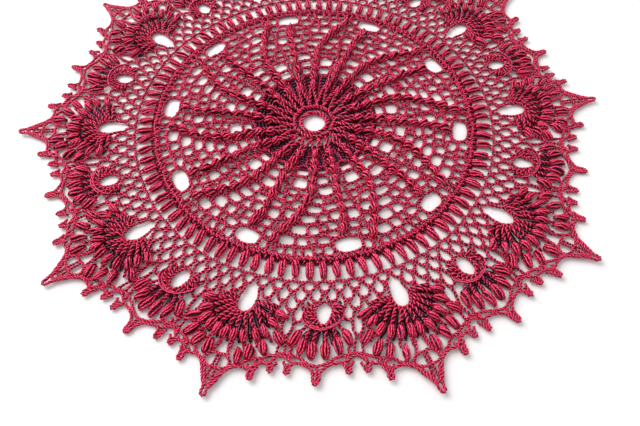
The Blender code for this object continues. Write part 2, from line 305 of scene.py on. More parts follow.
SPOKE_ANGLES = (0.5, 18.0)       # the two spokes of a repeat, where the posts meet them
POST_ROWS = [
    # degrees to the side of its spoke, distance from the centre, height: roots in pairs, heads in pairs
    (9.0, 10.8, 2.0), (8.5, 12.2, 2.5), (6.4, 14.4, 3.1), (4.1, 17.6, 3.5), (1.7, 22.4, 3.4),
]
BETWEEN = 8.9                    # degrees from a spoke to the thinner post between two spokes
BETWEEN_ROWS = ((17.0, 0.7), (23.0, 0.8), (30.5, 0.9))
for axis in AXES:
    for spoke in SPOKE_ANGLES:
        for side in (-1, 1):
            rows = [(spoke + side * lean, distance, height) for lean, distance, height in POST_ROWS]
            cord(centre, chart_line(rows, axis=axis), 1.05, turn_length=5.0, bulge=0.48, rings=7)
        rows = [(spoke + BETWEEN, distance, height) for distance, height in BETWEEN_ROWS]
        cord(centre, chart_line(rows, axis=axis), 0.95, turn_length=4.2, bulge=0.45, rings=5)


def srgb(code):
    """A hex colour as linear values, with an alpha of 1."""
    values = [int(code[i:i + 2], 16) / 255 for i in (1, 3, 5)]
    return [v / 12.92 if v <= 0.04045 else ((v + 0.055) / 1.055) ** 2.4 for v in values] + [1.0]


def add_node(tree, kind, settings=None, inputs=None, links=None):
    """A node with its settings, its sockets' values, and links into it."""
    node = tree.nodes.new(kind)
    for name, value in (settings or {}).items():
        setattr(node, name, value)
    for name, value in (inputs or {}).items():
        node.inputs[name].default_value = value
    for name, source in (links or {}).items():
        tree.links.new(source, node.inputs[name])
    return node


# Mercerised cotton in a crimson dye: a caustic bath under tension makes the fibre round and shiny, so
# the thread is a deep red with a sharp pale pink gleam. That gleam is partly real gloss and partly a painted
# highlight along each ridge, over painted shade on each thread's underside. Its two plies are twisted
# hard. A real ply turns about once a millimetre, too fine to show, so it is drawn longer.
PLY_LENGTH = 1.6
PLIES_ALONG = MAP_LENGTH / PLY_LENGTH        # a whole number, so the pattern's map repeats
PLIES_ROUND = 2.0
PLY_RELIEF = 0.22                # depth of the groove between plies
COTTON_RED_WITH_PAINTED_LIGHT = [
    # from the painted shade on a thread's underside to the painted highlight on its ridge, and the colour
    # there
    (0.0, "#34020c"), (0.5, "#a4061e"), (0.78, "#f20a2a"), (0.955, "#fc1a3c"), (1.0, "#ff70ac"),
]

# its pattern's map runs along the thread and once round it
cotton = bpy.data.materials.new("mercerised_cotton_thread")
cotton.use_nodes = True
tree = cotton.node_tree
tree.nodes.clear()
thread_map = add_node(tree, "ShaderNodeUVMap", {"uv_map": "OFBake"})
split = add_node(tree, "ShaderNodeSeparateXYZ", links={"Vector": thread_map.outputs["UV"]})
along = add_node(tree, "ShaderNodeMath", {"operation": "MULTIPLY"},
                 {1: 2.0 * math.pi * PLIES_ALONG}, {0: split.outputs["X"]})
total = add_node(tree, "ShaderNodeMath", {"operation": "MULTIPLY_ADD"},
                 {1: 2.0 * math.pi * PLIES_ROUND}, {0: split.outputs["Y"], 2: along.outputs[0]})
wave = add_node(tree, "ShaderNodeMath", {"operation": "SINE"}, links={0: total.outputs[0]})
ply = add_node(tree, "ShaderNodeMapRange", {}, {"From Min": -1.0, "From Max": 1.0},
               {"Value": wave.outputs[0]})
# painted shade and painted highlight: each thread is drawn dark red on the side turned down and lighter, to a
# pink highlight, on the side turned up
round_it = add_node(tree, "ShaderNodeMath", {"operation": "MULTIPLY"}, {1: 2.0 * math.pi},
                    {0: split.outputs["Y"]})
crown = add_node(tree, "ShaderNodeMath", {"operation": "SINE"}, links={0: round_it.outputs[0]})
colour = add_node(tree, "ShaderNodeValToRGB", links={"Fac": crown.outputs[0]})
ramp = colour.color_ramp
ramp.elements[0].color = srgb(COTTON_RED_WITH_PAINTED_LIGHT[0][1])
ramp.elements[1].color = srgb(COTTON_RED_WITH_PAINTED_LIGHT[-1][1])
for position, code in COTTON_RED_WITH_PAINTED_LIGHT[1:-1]:
    ramp.elements.new(position).color = srgb(code)
# painted shade: the groove between the plies is drawn darker
depth = add_node(tree, "ShaderNodeMapRange", {}, {"From Min": 0.0, "From Max": 0.7, "To Min": 0.42},
                 {"Value": ply.outputs["Result"]})
red_with_painted_light = add_node(tree, "ShaderNodeVectorMath", {"operation": "SCALE"},
                links={0: colour.outputs["Color"], "Scale": depth.outputs["Result"]})
bump = add_node(tree, "ShaderNodeBump", {}, {"Strength": 0.85, "Distance": PLY_RELIEF * MM},
                {"Height": ply.outputs["Result"]})
# cotton's IOR is close to 1.5, and the dye in the skin of the fibres tints their gleam
surface = add_node(tree, "ShaderNodeBsdfPrincipled", {},
                   {"Roughness": 0.22, "IOR": 1.5, "Specular IOR Level": 0.65,
                    "Specular Tint": srgb("#ffb4ea")},
                   {"Base Color": red_with_painted_light.outputs["Vector"], "Normal": bump.outputs["Normal"]})
add_node(tree, "ShaderNodeOutputMaterial", links={"Surface": surface.outputs["BSDF"]})


def finish_piece(work, name):
    """The work as one piece of the cloth, in place of the plain solid."""
    piece = work.mesh(name, cotton)
    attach(piece, "root")
    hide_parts("doily")
    return piece


finish_piece(centre, "centre_ring")

# ---------------------------------------------------------------------------
# Popcorn spokes: strings of raised beads in the same thread. A popcorn is a handful of
# tall stitches drawn together, and in each round one stands on the popcorn below. One
# spoke of each pair leans round, the other stops under the large gap.

STRANDS_TOGETHER = 5            # strands that a cluster shows side by side


def cluster(work, foot, head, shape, belly, crown, thickness, twist, spread=82.0, base=0.45, uneven=0.15,
            end_painted_shade=0.26):
    """Tall stitches drawn together: strands side by side over a soft core, to a table's shape."""
    foot, head = np.asarray(foot, float), np.asarray(head, float)
    share, wide, high = shape.T
    run = foot + (head - foot) * share[:, None]
    run[:, 2] += base
    heading = (head - foot) / np.linalg.norm(head - foot)
    flat = np.array([-heading[1], heading[0]]) / np.hypot(heading[0], heading[1])
    half = 0.5 * belly * wide - thickness / 2
    paths, leans = [], []
    for i in range(STRANDS_TOGETHER):
        lean = np.radians(spread * (2.0 * i / (STRANDS_TOGETHER - 1) - 1.0) + chance.normal(0.0, 5.0)
                          + twist * (share - 0.5))
        leans.append(lean)
        loose = 1.0 + chance.normal(0.0, 0.07) + 0.07 * np.sin(5.0 * share + chance.uniform(0.0, 6.0))
        path = run + heading * chance.normal(0.0, 0.2)
        path += chance.normal(0.0, uneven, (len(share), 3)) * np.sin(math.pi * share)[:, None]
        path[:, :2] += flat * (half * np.sin(lean) * loose)[:, None]
        path[:, 2] += crown * high * np.cos(lean) * loose
        paths.append(path)
    thick = thickness * (0.8 + 0.2 * wide) * chance.normal(1.0, 0.07, (STRANDS_TOGETHER, len(share)))
    # where the strands sink to the ends their painted dark side turns up, painted shade that sets each
    # cluster off from the next
    work.thread(paths, thick, 5, painted_shade_turn=end_painted_shade * (1.0 - high) - np.array(leans) / (2.0 * math.pi))
    # the soft core lies with its painted dark side up, as painted shade inside the cluster
    core = run.copy()
    core[:, 2] += 0.3 * crown * high
    work.thread([core], np.maximum(1.5 * half, 0.4)[None, :], 6, painted_shade_turn=0.5)


POPCORN_FIRST, POPCORN_PITCH = 20.6, 5.5
POPCORN_LENGTH = 0.99           # share of the pitch that a popcorn fills
POPCORN_SHAPE = np.array([
    # share of its length, its width and its height there
    (0.0, 0.26, 0.15), (0.12, 0.58, 0.48), (0.3, 0.94, 0.9), (0.5, 1.0, 1.0), (0.7, 0.94, 0.9),
    (0.88, 0.58, 0.48), (1.0, 0.26, 0.15),
])
# distance from the centre, and the angle that the spoke has reached there
LEANING_SPOKE = np.array([(21, 0.5), (30, -2.2), (39, -2.4), (45, -3.2), (50, -5.0), (58, -9.0),
                          (64, -12.0), (72, -16.0), (78, -19.0)])
BRANCH_SPOKE = np.array([(21, 18.0), (30, 14.0), (39, 12.4), (45, 12.0), (56, 11.0), (61, 11.3),
                         (67, 9.2), (72, 8.4)])
SPOKES = ((LEANING_SPOKE, 10), (BRANCH_SPOKE, 9))        # with the number of popcorns in each


def spoke_angle(spoke, distance):
    """Where a spoke runs at a distance from the centre."""
    return np.interp(distance, spoke[:, 0], spoke[:, 1])


spokes = Crochet()
for axis in AXES:
    for spoke, count in SPOKES:
        for number in range(count):
            low = POPCORN_FIRST + number * POPCORN_PITCH + chance.normal(0.0, 0.25)
            high = low + POPCORN_PITCH * POPCORN_LENGTH
            middle = (low + high) / 2
            sway = chance.normal(0.0, 0.2) / middle
            foot = place(axis + spoke_angle(spoke, low) - sway, low, 0.6)
            head = place(axis + spoke_angle(spoke, high) + sway, high, 0.6)
            cluster(spokes, foot, head, POPCORN_SHAPE, belly=4.4 * chance.normal(1.0, 0.06), crown=3.8,
                    thickness=1.15, twist=chance.normal(75.0, 35.0), spread=84.0, base=0.8,
                    uneven=0.2, end_painted_shade=0.2)
finish_piece(spokes, "popcorn_spokes")

# ---------------------------------------------------------------------------
# Openwork disc: lace of the same thread between the spokes. Chains and tall stitches are
# caught into each other round charted gaps. Each gap has a rim of two threads, and what
# lies between the gaps is filled.

GAPS = np.array([
    # from angle, to angle, from distance, to distance
    (-15.4, -6.6, 31.2, 36.4), (2.0, 8.2, 31.6, 35.2),
    (-15.8, -6.8, 37.6, 43.8), (0.6, 7.8, 37.0, 41.2),
    (-17.2, -11.8, 44.9, 47.2), (-10.2, -5.4, 44.9, 46.9), (1.0, 9.6, 42.2, 47.2),
    (-17.8, -13.4, 48.6, 51.6), (-9.4, -6.4, 48.2, 50.2), (-2.0, 3.2, 48.6, 52.2), (4.1, 6.0, 49.0, 51.4),
    (7.4, 10.4, 48.4, 50.2), (13.8, 17.6, 48.4, 51.6),
    (-13.0, -7.6, 51.4, 55.0), (-5.0, 1.8, 53.2, 57.0), (3.6, 9.6, 52.4, 55.6), (13.2, 17.6, 52.6, 56.0),
    (-15.4, -10.6, 56.2, 60.6), (-7.4, -1.4, 58.6, 62.4), (0.4, 4.4, 58.4, 61.6), (5.2, 9.8, 56.8, 61.0),
    (13.4, 18.0, 57.4, 62.6),
    (-16.6, -14.0, 62.8, 66.4), (-10.8, -5.2, 63.9, 68.8), (-4.1, -0.4, 64.5, 68.6), (1.0, 2.6, 63.8, 66.6),
    (3.9, 7.2, 62.8, 66.2), (3.2, 6.9, 67.7, 70.0), (12.6, 16.0, 63.8, 67.2),
    (-14.6, -9.6, 70.2, 74.8), (-8.4, -5.0, 70.4, 74.4), (-4.0, -2.2, 70.2, 72.8), (-0.9, 3.2, 70.2, 73.4),
    (11.6, 14.4, 68.4, 70.8), (15.4, 18.2, 68.6, 72.0),
    (-14.9, -12.8, 76.6, 79.6), (-11.6, -9.3, 76.4, 79.8), (-8.6, -6.8, 76.2, 79.4), (-5.9, -3.1, 75.9, 79.8),
    (-2.4, -0.1, 75.2, 78.0), (0.8, 3.6, 75.2, 79.2), (4.8, 14.0, 71.6, 78.5), (14.9, 17.0, 74.6, 79.0),
])
# distances of the rounds of chain that fill what is left, and the pitch of the stitches between them
FILL_LINES = [30.6, 36.9, 41.9, 47.9, 52.3, 57.2, 63.2, 69.2, 75.0, 79.6]
POST_PITCH = 2.3
POPCORN_HALF = 2.0              # half the width that a spoke covers
SPOKE_ENDS = ((LEANING_SPOKE, 77.0), (BRANCH_SPOKE, 70.0))
RIM = 0.78                      # from a gap's side to the middle of its rim
ROUNDNESS = 3.0                 # 2 is an oval, more is squarer
SHORTEST_CHAIN = 2.0            # a shorter free stretch of a fill line stays open


def covered(angle, distance, margin):
    """Whether chart places lie in a gap grown by a margin, or under a spoke."""
    angle, distance = np.broadcast_arrays(np.asarray(angle, float), np.asarray(distance, float))
    inside = np.zeros(angle.shape, bool)
    for turn in (-REPEAT, 0.0, REPEAT):
        for left, right, low, high in GAPS:
            side = np.radians(angle + turn - (left + right) / 2) * distance
            out = distance - (low + high) / 2
            half = math.radians(right - left) * (low + high) / 4 + margin
            inside |= abs(side / half) ** ROUNDNESS + abs(out / ((high - low) / 2 + margin)) ** ROUNDNESS < 1
        for spoke, last in SPOKE_ENDS:
            side = np.radians(angle + turn - spoke_angle(spoke, distance)) * distance
            inside |= (abs(side) < POPCORN_HALF) & (distance < last)
    return inside


def free_runs(free):
    """First and last index of each run of true values."""
    edges = np.flatnonzero(np.diff(np.concatenate([[0], free.astype(int), [0]])))
    return zip(edges[::2], edges[1::2] - 1)


def tight_chain(work, line, thickness=0.9, turn_length=3.2, bulge=0.4, strands=2):
    """A run of chains pulled tight: its sides have rolled round each other."""
    cord(work, line, thickness, turn_length, bulge, strands, sides=4, rings=3.9)


openwork = Crochet()
for axis in AXES:
    for left, right, low, high in GAPS:
        turn = np.radians(np.arange(0, 361, 30) + chance.uniform(0, 30))
        corner = 1.0 / (abs(np.cos(turn)) ** ROUNDNESS + abs(np.sin(turn)) ** ROUNDNESS) ** (1 / ROUNDNESS)
        by_hand = 1.0 + chance.normal(0.0, 0.035, len(turn))
        by_hand[-1] = by_hand[0]
        middle, distance = (left + right) / 2, (low + high) / 2
        wide = (math.radians(right - left) * distance / 2 + RIM) * corner * by_hand * np.cos(turn)
        long = ((high - low) / 2 + RIM) * corner * by_hand * np.sin(turn)
        high_up = 1.3 + 0.3 * np.sin(turn * 2 + chance.uniform(0, 6))
        rim = place(axis + middle + np.degrees(wide / distance), distance + long, high_up)
        tight_chain(openwork, curve(rim, 0.8), thickness=1.0, bulge=0.46)
    for low, high in zip(FILL_LINES, FILL_LINES[1:]):
        middle = (low + high) / 2
        posts = int(math.radians(REPEAT) * middle / POST_PITCH)
        for k in range(posts):
            angle = REPEAT * (k + 0.5) / posts
            along = np.linspace(low, high, 9)
            for first, last in free_runs(~covered(angle, along, 1.0)):
                if last - first < 3:
                    continue
                lean = np.degrees((1 if k % 2 else -1) * 0.5 / middle)
                rows = [(angle - lean, along[first] - 0.5, 1.3),
                        (angle, (along[first] + along[last]) / 2, 1.7),
                        (angle + lean, along[last] + 0.5, 1.4)]
                tight_chain(openwork, chart_line(rows, axis=axis))
    for distance in FILL_LINES[:-1]:
        angles = np.linspace(0.0, REPEAT, int(math.radians(REPEAT) * distance / 0.7))
        for first, last in free_runs(~covered(angles, distance, 0.8)):
            if math.radians(angles[last] - angles[first]) * distance < SHORTEST_CHAIN:
                continue
            rows = [(a, distance) for a in np.linspace(angles[first], angles[last], 4)]
            tight_chain(openwork, chart_line(rows, 1.2, axis))
openwork_piece = finish_piece(openwork, "openwork_disc")

# ---------------------------------------------------------------------------
# Firm band and round of clusters: close rounds of short stitches in the same thread hold
# the disc's edge, and ninety clusters are worked into them, each closed by a small eye
# of chain.

CLUSTERS_PER_REPEAT = 9
CLUSTER_STEP = REPEAT / CLUSTERS_PER_REPEAT
BARREL_SHAPE = np.array([
    # share of its length, its width and its height there
    (0.0, 0.78, 0.4), (0.1, 0.93, 0.78), (0.35, 1.0, 1.0), (0.65, 0.99, 0.96), (0.9, 0.84, 0.76),
    (1.0, 0.6, 0.45),
])
BAND_ROWS = [
    # a short stitch's angle, distance and height
    (-0.6, 79.3, 1.4), (0.0, 81.2, 2.2), (0.5, 83.0, 1.3),
]
BAND_LINE = 81.3                # distance of the twisted line over the short stitches
UNDER_BAND = (80.4, 82.0, 83.4)
CLUSTER_FOOT, CLUSTER_HEAD = 82.9, 90.1
EYE_MIDDLE, EYE_WIDEST = 91.2, 91.4          # distances of the small eye's middle and of its widest part
EYE_HALF = (1.0, 1.05)          # half its width and half its length
EYE_STEP = 51.43                # a seventh of a turn, in degrees

clusters = Crochet()
around = np.arange(0, 360.1, 1)
band_line = place(around, BAND_LINE + 0.35 * np.sin(np.radians(around * 27)), 1.9)
cord(clusters, band_line, 1.0, turn_length=3.2, bulge=0.5)
for angle in np.arange(0, 360, 2):
    rows = [(angle + lean, distance, height) for lean, distance, height in BAND_ROWS]
    cord(clusters, chart_line(rows), 0.95, turn_length=3.0, bulge=0.42, sides=4)
# the threads under the band lie with their painted dark side up, as painted shade
for distance in UNDER_BAND:
    under = place(np.arange(0, 360, 3), distance, 0.5)
    clusters.thread([under], 1.5, 4, closed=True, painted_shade_turn=0.35)
for i in range(REPEATS * CLUSTERS_PER_REPEAT):
    angle = i * CLUSTER_STEP + chance.normal(0.0, 0.12)
    foot = place(angle + chance.normal(0.0, 0.2), CLUSTER_FOOT + chance.normal(0.0, 0.2), 0.5)
    head = place(angle, CLUSTER_HEAD + chance.normal(0.0, 0.15), 0.3)
    cluster(clusters, foot, head, BARREL_SHAPE, belly=4.0, crown=2.6, thickness=1.12,
            twist=chance.normal(32.0, 26.0), uneven=0.19)
    turn = np.radians(np.arange(0, 360, EYE_STEP))
    sideways = np.degrees(EYE_HALF[0] * np.cos(turn) / EYE_WIDEST)
    eye = place(angle + sideways, EYE_MIDDLE + EYE_HALF[1] * np.sin(turn), 1.0)
    clusters.thread([eye], 0.85, 4, closed=True)
finish_piece(clusters, "cluster_round")

# ---------------------------------------------------------------------------
# Net: arches of chain in the same thread. Each arch is caught down at the top of the arch
# below, so its two legs stand side by side. The rounds narrow between the fans as these
# grow.

LEG = 0.47                      # half the spread of two legs at a joint, in degrees
NET_ROUNDS = [
    # joints from one fan to the other, distance of the joints, distance of the arches' tops
    ([-18, -14, -10, -6, -2, 2, 6, 10, 14, 18], 92.6, 97.0),
    ([-15.9, -12, -7.9, -3.9, 0, 3.9, 7.9, 12, 15.9], 96.9, 101.7),
    ([-13.5, -9.5, -5.6, -1.9], 101.6, 106.1),
    ([1.9, 5.6, 9.5, 13.5], 101.6, 106.1),
    ([-11.0, -7.4, -3.9], 106.0, 111.0),
    ([3.9, 7.4, 11.0], 106.0, 111.0),
    ([-9.0, -5.8], 111.0, 118.0),
    ([5.8, 9.0], 111.0, 118.0),
]
TIES = [
    # rows of angle and distance, and their height: short ends that tie the net to the fans beside it
    ([(13.9, 101.6), (14.0, 103.4), (14.8, 104.6), (15.6, 104.8)], 1.2),
    ([(11.4, 106.2), (11.5, 108.0), (12.2, 109.2)], 1.2),
    ([(7.0, 117.8), (6.9, 120.0), (6.6, 123.0), (6.4, 125.2)], 1.3),
    ([(7.6, 117.8), (7.7, 120.0), (7.9, 123.0), (7.9, 126.4)], 1.3),
]
ZIGZAG = (92.3, 0.6, 90)         # the first round: its distance, how far it swings, and how often


def arch_rows(left, right, foot, top):
    """Chart rows of an arch from joint to joint: up a leg, over, and down."""
    half = (right - left) / 2 - LEG
    rise = top - foot
    side = [(0.0, -0.2), (0.02, 0.28), (0.12, 0.58), (0.42, 0.88)]
    rows = [(left + LEG + half * a, foot + rise * b) for a, b in side]
    rows.append(((left + right) / 2, top))
    return rows + [(right - LEG - half * a, foot + rise * b) for a, b in side[::-1]]


net = Crochet()
around = np.arange(0, 360.1, 1)
middle, swing, times = ZIGZAG
tight_chain(net, place(around, middle - swing * np.cos(np.radians(around * times)), 1.1))
for axis in AXES:
    for joints, foot, top in NET_ROUNDS:
        for left, right in zip(joints, joints[1:]):
            arch = chart_line(arch_rows(left, right, foot, top), 1.1, axis)
            tight_chain(net, arch, thickness=1.0, turn_length=3.3, bulge=0.44)
    for mirror in (-1, 1):
        for rows, height in TIES:
            tight_chain(net, chart_line(rows, height, axis, mirror))
finish_piece(net, "net_round")

# ---------------------------------------------------------------------------
# Long fans: ten mounded fans of the same thread. Twisted stitches are worked over a tall
# loop of chain, then two rounds of leaf-shaped clusters, over the threads of the round
# below.

LONG_EYE = (18.0, 103.8)         # angle and distance of the round eye in the loop
LONG_LOOP = [(-2.05, 97.0), (-1.8, 98.6), (-1.95, 100.4), (-2.25, 102.4), (-2.34, 104.6), (-2.15, 107.0),
             (-1.6, 109.4), (-0.8, 110.8), (0, 111.1)]
# leaves of the two rounds: lean from the fan's middle, distance of their own middle from the eye
LONG_FIRST = [(-77, 16.4), (-61, 17.4), (-46, 17.8), (-32, 18.0), (-18.5, 18.0), (-6, 18.0),
              (6, 18.0), (18.5, 18.0), (32, 18.0), (46, 17.8), (61, 17.4), (77, 16.4)]
LONG_SECOND = [(-54, 23.4), (-39, 25.1), (-26.5, 26.0), (-14, 26.6),
               (14, 26.6), (26.5, 26.0), (39, 25.1), (54, 23.4)]
LEAF_ROUNDS = (
    # leaves, how far they are raised, their length and width
    (LONG_FIRST, 1.4, 6.2, 3.5), (LONG_SECOND, 0.6, 6.8, 4.2),
)
LEAF_SHAPE = np.array([
    # share of its length, its width and its height there
    (0.0, 0.45, 0.3), (0.15, 0.78, 0.74), (0.38, 0.99, 1.0), (0.66, 1.0, 1.0), (0.88, 0.82, 0.78),
    (1.0, 0.5, 0.35),
])
LEAF_HALF = 3.65                 # from a leaf's middle to its head
STITCH_SPREAD, STITCHES = 87, 27         # the stitches' lean at either side, and how many go round
STITCH_REACH = 14.8              # distance of their heads from the eye, less to the sides:
SIDE_LOSS, SIDE_LEAN = 2.4, 104  # by this much at this lean
LONG_FEET = (4.8, 7.4)           # half width and half length of the round that their feet lie on
STEM_FROM, STEM_TO = 19.0, 24.5
STEMS = (-48, -33, -20, -7, 7, 20, 33, 48)           # leans of the stems between the two rounds
UNDER_WIDTHS = [1.0, 1.6, 2.2, 2.6, 3.0, 2.6, 0.8]   # of the threads below, from the loop outwards
UNDER_PAST, PAST_AT_SIDE, SIDE_FROM = 7.0, 3.0, 50   # these run past the heads, less from this lean on


def fan_spot(axis, eye, spread, distance, height):
    """A place by its lean from the fan's middle and its distance from the fan's eye."""
    side = distance * math.sin(math.radians(spread))
    out = eye[1] + distance * math.cos(math.radians(spread))
    return place(axis + eye[0] + math.degrees(math.atan2(side, out)), math.hypot(side, out), height)


def both_sides(rows):
    """Chart rows of a half made whole about its axis, which the last row is on."""
    return rows + [(-row[0], *row[1:]) for row in rows[-2::-1]]


def leaf(work, foot, head, belly):
    """A leaf-shaped cluster, with the stitch across its head that closes it."""
    cluster(work, foot, head, LEAF_SHAPE, belly=belly * chance.normal(1.0, 0.05), crown=2.7, thickness=1.04,
            twist=chance.choice([-1, 1]) * chance.normal(48.0, 20.0), end_painted_shade=0.3)
    heading = (head - foot) / np.linalg.norm(head - foot)
    turn = np.radians(np.arange(0, 360, 60))
    stitch = head + heading * (0.1 + 0.45 * np.cos(turn))[:, None]
    stitch += np.array([-heading[1], heading[0], 0.0]) * (0.85 * np.sin(turn))[:, None]
    stitch[:, 2] += 0.9
    work.thread([stitch], 0.74, 4, closed=True)


long_fans = Crochet()
for axis in AXES:
    rows = [(LONG_EYE[0] + angle, distance) for angle, distance in both_sides(LONG_LOOP)]
    tight_chain(long_fans, chart_line(rows, 1.5, axis), 0.95)
    for number, spread in enumerate(np.linspace(-STITCH_SPREAD, STITCH_SPREAD, STITCHES)):
        lean = math.radians(spread)
        rim = 1.0 / math.hypot(math.sin(lean) / LONG_FEET[0], math.cos(lean) / LONG_FEET[1])
        reach = STITCH_REACH - SIDE_LOSS * abs(spread / SIDE_LEAN) ** 3
        # every other stitch gives way to a thread below, which lies with its painted dark side up as painted
        # shade
        if number % 2:
            last = reach + (UNDER_PAST if abs(spread) < SIDE_FROM else PAST_AT_SIDE)
            outwards = np.linspace(rim, last, len(UNDER_WIDTHS))
            under = [fan_spot(axis, LONG_EYE, spread, distance, 0.6) for distance in outwards]
            long_fans.thread([under], np.array([UNDER_WIDTHS]), 4, painted_shade_turn=0.38)
            continue
        points = [fan_spot(axis, LONG_EYE, spread, rim, 1.5),
                  fan_spot(axis, LONG_EYE, spread + chance.normal(0, 2.5), (rim + reach) / 2, 2.7),
                  fan_spot(axis, LONG_EYE, spread + chance.normal(0, 1.5), reach, 2.2)]
        cord(long_fans, curve(points), 1.05, turn_length=4.2 + chance.normal(0, 0.4), bulge=0.5, rings=5.5)
    for spread in STEMS:
        points = [fan_spot(axis, LONG_EYE, spread, STEM_FROM, 1.6),
                  fan_spot(axis, LONG_EYE, spread, STEM_TO, 1.2)]
        cord(long_fans, curve(points), 0.95, turn_length=3.6, bulge=0.44, rings=5)
    for leaves, raised, length, belly in LEAF_ROUNDS:
        for spread, middle in leaves:
            spread = spread + chance.normal(0.0, 0.9)
            middle = middle + chance.normal(0.0, 0.35)
            foot = fan_spot(axis, LONG_EYE, spread, middle + LEAF_HALF - length, raised)
            head = fan_spot(axis, LONG_EYE, spread + chance.normal(0, 1.0), middle + LEAF_HALF, raised - 0.3)
            leaf(long_fans, foot, head, belly)
finish_piece(long_fans, "long_fans")

# ---------------------------------------------------------------------------
# Short fans: ten smaller fans of the same thread between the long ones. A thick arch of
# chains is worked round a smaller loop, then posts on the arch and six clusters on the
# posts.

SHORT_EYE = (0.0, 106.2)         # angle and distance of the round eye in the loop
SHORT_LOOP = [(0.0, 101.4), (-0.9, 102.3), (-1.7, 103.8), (-1.98, 105.8), (-1.85, 108.0), (-1.45, 110.2),
              (-0.8, 111.9), (0, 112.4)]
SHORT_ARCH = [(-4.5, 107.6, 0.4), (-4.4, 109.7, 0.8), (-3.5, 112.0, 1.2), (-2.0, 113.8, 1.4), (0, 114.8, 1.4)]
# half width and half length of the rounds that the stitches' feet and heads lie on
SHORT_FEET, SHORT_HEADS = (4.1, 6.2), (8.2, 8.4)
SHORT_SPREAD, SHORT_STITCHES = 118, 29
STEM_ROOT = 114.4                # distance of the arch's top, which the clusters' stems stand on
SHORT_CLUSTERS = [
    # angle and distance of the foot, angle and distance of the head
    (1.05, 120.3, 1.25, 127.0), (3.1, 118.8, 3.7, 125.4), (4.6, 115.6, 5.7, 122.0),
]
CHAIN_WIDTH, CHAIN_PITCH = 2.2, 2.3
CHAIN_LOOP, CHAIN_BACK = 0.88, 0.85      # thickness of its loops and of its back strand
CHAIN_RISE, CHAIN_LOW = 0.66, 0.9        # how far each loop climbs, and where it starts
CHAIN_POINTS = 7


def chain(work, line):
    """A run of chains: each loop comes up through the head of the one before, over a back strand."""
    count = max(1, round(line_length(line) / CHAIN_PITCH))
    pitch = line_length(line) / count
    turn = 2.0 * math.pi * (np.arange(CHAIN_POINTS) + 0.5) / CHAIN_POINTS
    share = (1.0 - np.cos(turn)) / 2
    wide = 0.5 * (CHAIN_WIDTH - CHAIN_LOOP) * np.sin(turn) * (0.6 + 0.8 * share)
    bump = CHAIN_RISE * (np.sin(math.pi * share ** 0.8) - 0.4) + 0.1 * share
    at = pitch * (np.arange(count)[:, None] + 1.62 * share[None, :] - 0.25)
    spot, heading = follow(line, at)
    pull = chance.normal(1.0, 0.08, (count, 1))
    # a run of chains never lies quite flat: it rolls to one side, and back a little along its length
    roll = chance.choice([-1.0, 1.0]) * (0.75 + 0.3 * np.sin(at / 5.0 + chance.uniform(0, 6)))
    sideways = wide * pull * np.cos(roll) - bump * np.sin(roll)
    upwards = wide * pull * np.sin(roll) + bump * np.cos(roll)
    loops = spot + across(heading) * sideways[..., None]
    loops[..., 2] += CHAIN_LOW + 0.4 * CHAIN_RISE + upwards + chance.normal(0.0, 0.06, (count, 1))
    # the loops' painted highlight is turned a little to the side
    work.thread(loops, CHAIN_LOOP, 4, closed=True, painted_shade_turn=-0.08)
    # the back strand lies with its painted dark side up, as painted shade under the loops
    back, _ = follow(line, np.linspace(0.0, pitch * count, max(2, round(pitch * count / 1.6) + 1)))
    back[:, 2] += CHAIN_LOW - 0.1
    work.thread([back], CHAIN_BACK, 4, painted_shade_turn=0.5)


short_fans = Crochet()
for axis in AXES:
    tight_chain(short_fans, chart_line(both_sides(SHORT_LOOP), 1.4, axis), 0.95)
    chain(short_fans, chart_line(both_sides(SHORT_ARCH), 0.2, axis))
    for number, spread in enumerate(np.linspace(-SHORT_SPREAD, SHORT_SPREAD, SHORT_STITCHES)):
        lean = math.radians(spread)
        inner = 1.0 / math.hypot(math.sin(lean) / SHORT_FEET[0], math.cos(lean) / SHORT_FEET[1])
        outer = 1.0 / math.hypot(math.sin(lean) / SHORT_HEADS[0], math.cos(lean) / SHORT_HEADS[1])
        # every other stitch gives way to a thread below, which lies with its painted dark side up as painted
        # shade
        if number % 2:
            under = [fan_spot(axis, SHORT_EYE, spread, far, 0.6) for far in np.linspace(inner, outer, 3)]
            short_fans.thread([under], 1.3, 4, painted_shade_turn=0.5)
            continue
        points = [fan_spot(axis, SHORT_EYE, spread, inner, 1.3),
                  fan_spot(axis, SHORT_EYE, spread, (inner + outer) / 2, 2.1),
                  fan_spot(axis, SHORT_EYE, spread, outer, 2.2)]
        cord(short_fans, curve(points), 1.0, turn_length=4.2 + chance.normal(0, 0.4), bulge=0.48, rings=5.5)
    for mirror in (-1, 1):
        for angle, foot, top, head in SHORT_CLUSTERS:
            angle, top = (mirror * (v + chance.normal(0, 0.12)) for v in (angle, top))
            leaf(short_fans, place(axis + angle, foot - 0.6, 0.7), place(axis + top, head, 0.3), belly=4.5)
            stem = [(angle * 0.72, STEM_ROOT - abs(angle) * 0.35, 2.1),
                    (angle * 0.9, (foot + STEM_ROOT + 0.6) / 2, 1.9), (angle, foot + 0.4, 1.5)]
            cord(short_fans, chart_line(stem, axis=axis), 0.98, turn_length=3.6, bulge=0.46, rings=5)
            # a thread under each stem, with its painted dark side up as painted shade
            under = [(angle * 0.4, 114.6), (angle * 0.6, (foot + 114.6) / 2), (angle * 0.78, foot + 2.0)]
            short_fans.thread([chart_line(under, 0.6, axis)], 2.2, 4, painted_shade_turn=0.5)
finish_piece(short_fans, "short_fans")

# ---------------------------------------------------------------------------
# Edging: the last rounds, lines of chain in the same thread with picots, which are small
# closed loops. They rise to a long point over each long fan and to a short point over
# each short fan.

